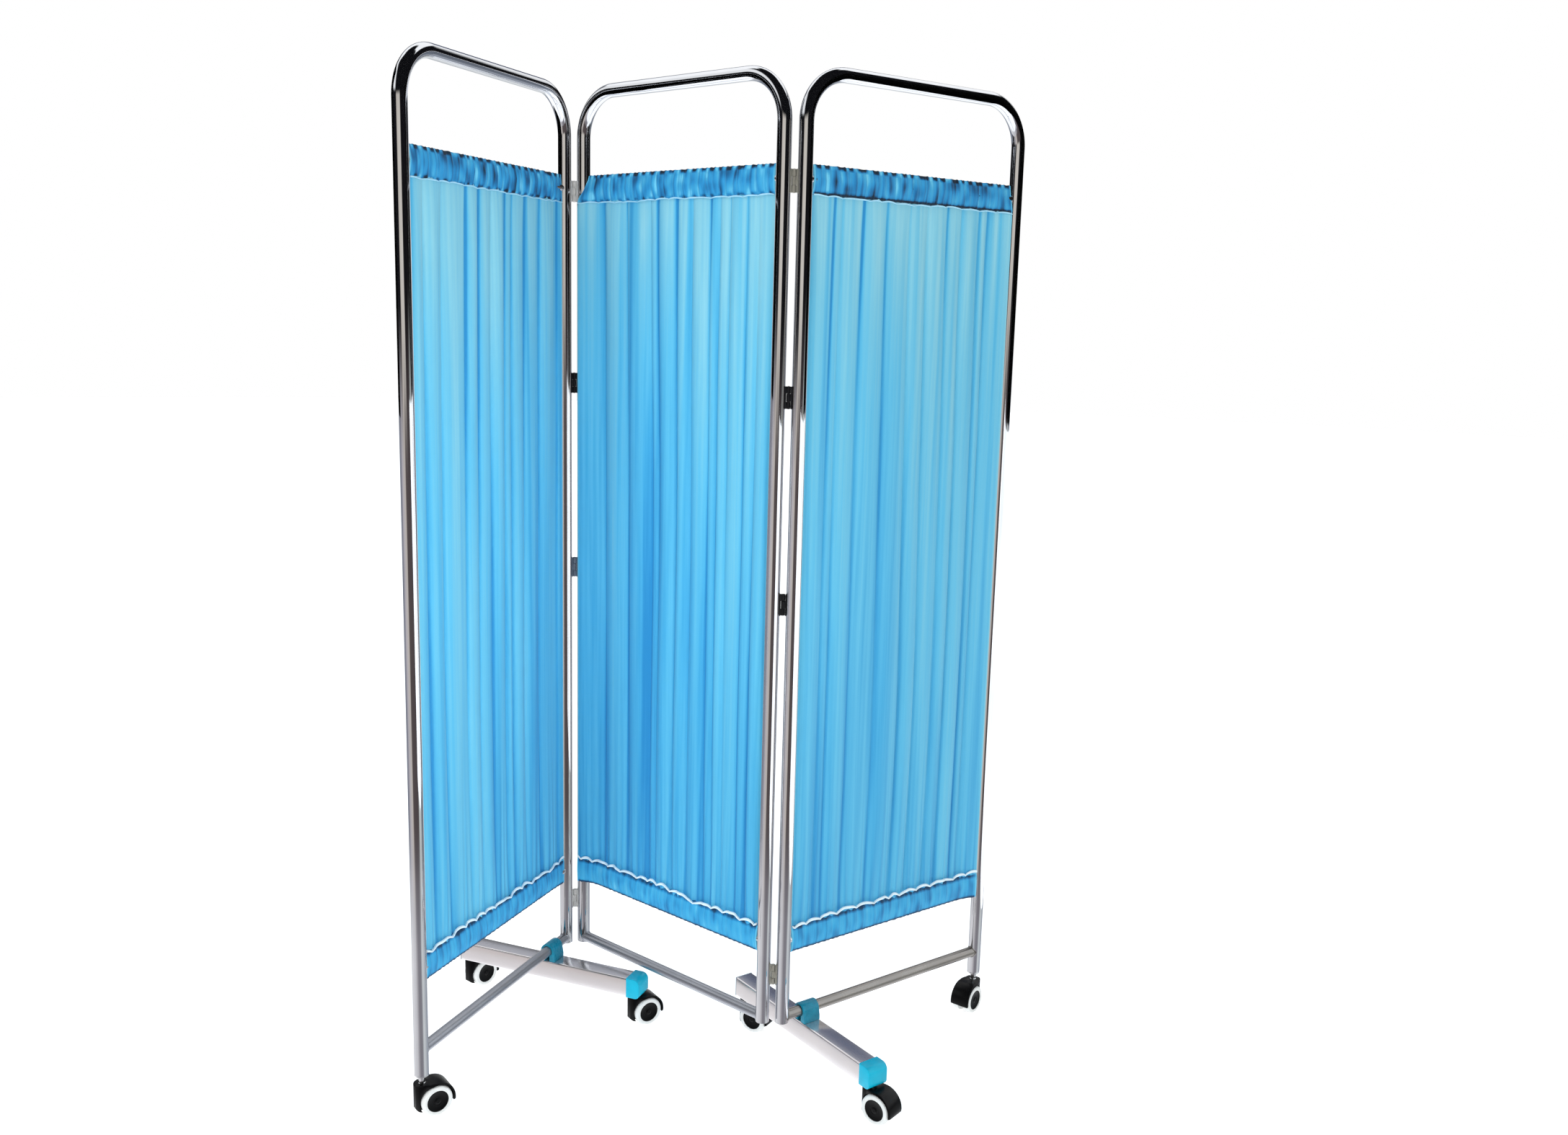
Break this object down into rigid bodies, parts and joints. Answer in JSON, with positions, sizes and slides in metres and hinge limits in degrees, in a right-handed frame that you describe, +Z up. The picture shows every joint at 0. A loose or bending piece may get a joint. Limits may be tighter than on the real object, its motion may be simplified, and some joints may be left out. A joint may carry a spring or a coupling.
{
  "type": "ward privacy screen on wheels",
  "caption": "Folding ward privacy screen of hinged bent-tube panels with gathered blue curtains, on cross feet with hooded twin-wheel castors.",
  "frame": {"origin": "on the floor, under the middle of the standing screen's outline", "axes": "+Z up, +X to the viewer's right and +Y away from the viewer in the pictured view"},
  "size_m": [1.0786, 0.5438, 1.8],
  "materials": {
    "chromed_tube": "bright polished plating",
    "curtain_rod_steel": "satin",
    "curtain_cloth": "plain matt cloth, sky blue",
    "hinge_plated": "dull plated",
    "hinge_black": "semi-gloss black",
    "foot_tube": "satin plated",
    "teal_moulding": "smooth moulded, teal",
    "grey_plug": "fine moulded, grey",
    "castor_hood": "smooth moulded, black",
    "castor_tyre": "matt, near white",
    "castor_stem": "zinc plated"
  },
  "bodies": {
    "middle_panel": {"frame_tube_middle": "chromed_tube", "bottom_rail_middle": "chromed_tube", "curtain_rod_upper_middle": "curtain_rod_steel", "curtain_rod_lower_middle": "curtain_rod_steel", "curtain_middle": "curtain_cloth", "hinge_left_1_pin_leaf": "hinge_plated", "hinge_left_2_pin_leaf": "hinge_black", "hinge_left_3_pin_leaf": "hinge_black", "hinge_left_4_pin_leaf": "hinge_plated", "hinge_right_1_pin_leaf": "hinge_plated", "hinge_right_2_pin_leaf": "hinge_black", "hinge_right_3_pin_leaf": "hinge_black", "hinge_right_4_pin_leaf": "hinge_plated"},
    "left_wing": {"frame_tube_left": "chromed_tube", "bottom_rail_left": "chromed_tube", "curtain_rod_upper_left": "curtain_rod_steel", "curtain_rod_lower_left": "curtain_rod_steel", "curtain_left": "curtain_cloth", "hinge_left_1_knuckle_leaf": "hinge_plated", "hinge_left_2_knuckle_leaf": "hinge_black", "hinge_left_3_knuckle_leaf": "hinge_black", "hinge_left_4_knuckle_leaf": "hinge_plated", "foot_beam_left": "foot_tube", "foot_cap_left": "teal_moulding", "foot_plug_left": "grey_plug", "castor_left_front_stem": "castor_stem", "castor_left_rear_stem": "castor_stem", "rail_saddle_left": "teal_moulding", "castor_left_outer_stem": "castor_stem"},
    "right_wing": {"frame_tube_right": "chromed_tube", "bottom_rail_right": "chromed_tube", "curtain_rod_upper_right": "curtain_rod_steel", "curtain_rod_lower_right": "curtain_rod_steel", "curtain_right": "curtain_cloth", "hinge_right_1_knuckle_leaf": "hinge_plated", "hinge_right_2_knuckle_leaf": "hinge_black", "hinge_right_3_knuckle_leaf": "hinge_black", "hinge_right_4_knuckle_leaf": "hinge_plated", "foot_beam_right": "foot_tube", "foot_cap_right": "teal_moulding", "foot_plug_right": "grey_plug", "castor_right_front_stem": "castor_stem", "castor_right_rear_stem": "castor_stem", "rail_saddle_right": "teal_moulding", "castor_right_outer_stem": "castor_stem"},
    "castor_left_front_swivel": {"castor_left_front_hood": "castor_hood"},
    "castor_left_front_wheelset": {"castor_left_front_wheels": "castor_tyre"},
    "castor_left_rear_swivel": {"castor_left_rear_hood": "castor_hood"},
    "castor_left_rear_wheelset": {"castor_left_rear_wheels": "castor_tyre"},
    "castor_left_outer_swivel": {"castor_left_outer_hood": "castor_hood"},
    "castor_left_outer_wheelset": {"castor_left_outer_wheels": "castor_tyre"},
    "castor_right_front_swivel": {"castor_right_front_hood": "castor_hood"},
    "castor_right_front_wheelset": {"castor_right_front_wheels": "castor_tyre"},
    "castor_right_rear_swivel": {"castor_right_rear_hood": "castor_hood"},
    "castor_right_rear_wheelset": {"castor_right_rear_wheels": "castor_tyre"},
    "castor_right_outer_swivel": {"castor_right_outer_hood": "castor_hood"},
    "castor_right_outer_wheelset": {"castor_right_outer_wheels": "castor_tyre"}
  },
  "joints": [
    {"name": "left_fold", "type": "hinge", "parent": "middle_panel", "child": "left_wing", "pos_m": [-0.30243, 0.21088, 0.9085], "axis": [0, 0, 1], "range_deg": [-108.5, 46.5]},
    {"name": "right_fold", "type": "hinge", "parent": "middle_panel", "child": "right_wing", "pos_m": [0.10943, -0.10149, 0.9085], "axis": [0, 0, 1], "range_deg": [-76.5, 78.5]},
    {"name": "castor_left_front_swivel_turn", "type": "hinge", "parent": "left_wing", "child": "castor_left_front_swivel", "pos_m": [-0.16293, 0.07977, 0.05], "axis": [0, 0, 1], "continuous": true},
    {"name": "castor_left_front_roll", "type": "hinge", "parent": "castor_left_front_swivel", "child": "castor_left_front_wheelset", "pos_m": [-0.14573, 0.09182, 0.02776], "axis": [-0.5736, 0.8192, 0], "continuous": true},
    {"name": "castor_left_rear_swivel_turn", "type": "hinge", "parent": "left_wing", "child": "castor_left_rear_swivel", "pos_m": [-0.51673, 0.21843, 0.05], "axis": [0, 0, 1], "continuous": true},
    {"name": "castor_left_rear_roll", "type": "hinge", "parent": "castor_left_rear_swivel", "child": "castor_left_rear_wheelset", "pos_m": [-0.50323, 0.23451, 0.02776], "axis": [-0.766, 0.6428, 0], "continuous": true},
    {"name": "castor_left_outer_swivel_turn", "type": "hinge", "parent": "left_wing", "child": "castor_left_outer_swivel", "pos_m": [-0.49745, -0.25312, 0.05], "axis": [0, 0, 1], "continuous": true},
    {"name": "castor_left_outer_roll", "type": "hinge", "parent": "castor_left_outer_swivel", "child": "castor_left_outer_wheelset", "pos_m": [-0.48047, -0.24077, 0.02776], "axis": [-0.5878, 0.809, 0], "continuous": true},
    {"name": "castor_right_front_swivel_turn", "type": "hinge", "parent": "right_wing", "child": "castor_right_front_swivel", "pos_m": [0.28716, -0.22145, 0.05], "axis": [0, 0, 1], "continuous": true},
    {"name": "castor_right_front_roll", "type": "hinge", "parent": "castor_right_front_swivel", "child": "castor_right_front_wheelset", "pos_m": [0.30371, -0.23438, 0.02776], "axis": [0.6157, 0.788, 0], "continuous": true},
    {"name": "castor_right_rear_swivel_turn", "type": "hinge", "parent": "right_wing", "child": "castor_right_rear_swivel", "pos_m": [0.06059, 0.08362, 0.05], "axis": [0, 0, 1], "continuous": true},
    {"name": "castor_right_rear_roll", "type": "hinge", "parent": "castor_right_rear_swivel", "child": "castor_right_rear_wheelset", "pos_m": [0.07878, 0.07312, 0.02776], "axis": [0.5, 0.866, 0], "continuous": true},
    {"name": "castor_right_outer_swivel_turn", "type": "hinge", "parent": "right_wing", "child": "castor_right_outer_swivel", "pos_m": [0.52069, 0.18866, 0.05], "axis": [0, 0, 1], "continuous": true},
    {"name": "castor_right_outer_roll", "type": "hinge", "parent": "castor_right_outer_swivel", "child": "castor_right_outer_wheelset", "pos_m": [0.50806, 0.17189, 0.02776], "axis": [0.7986, -0.6018, 0], "continuous": true}
  ]
}
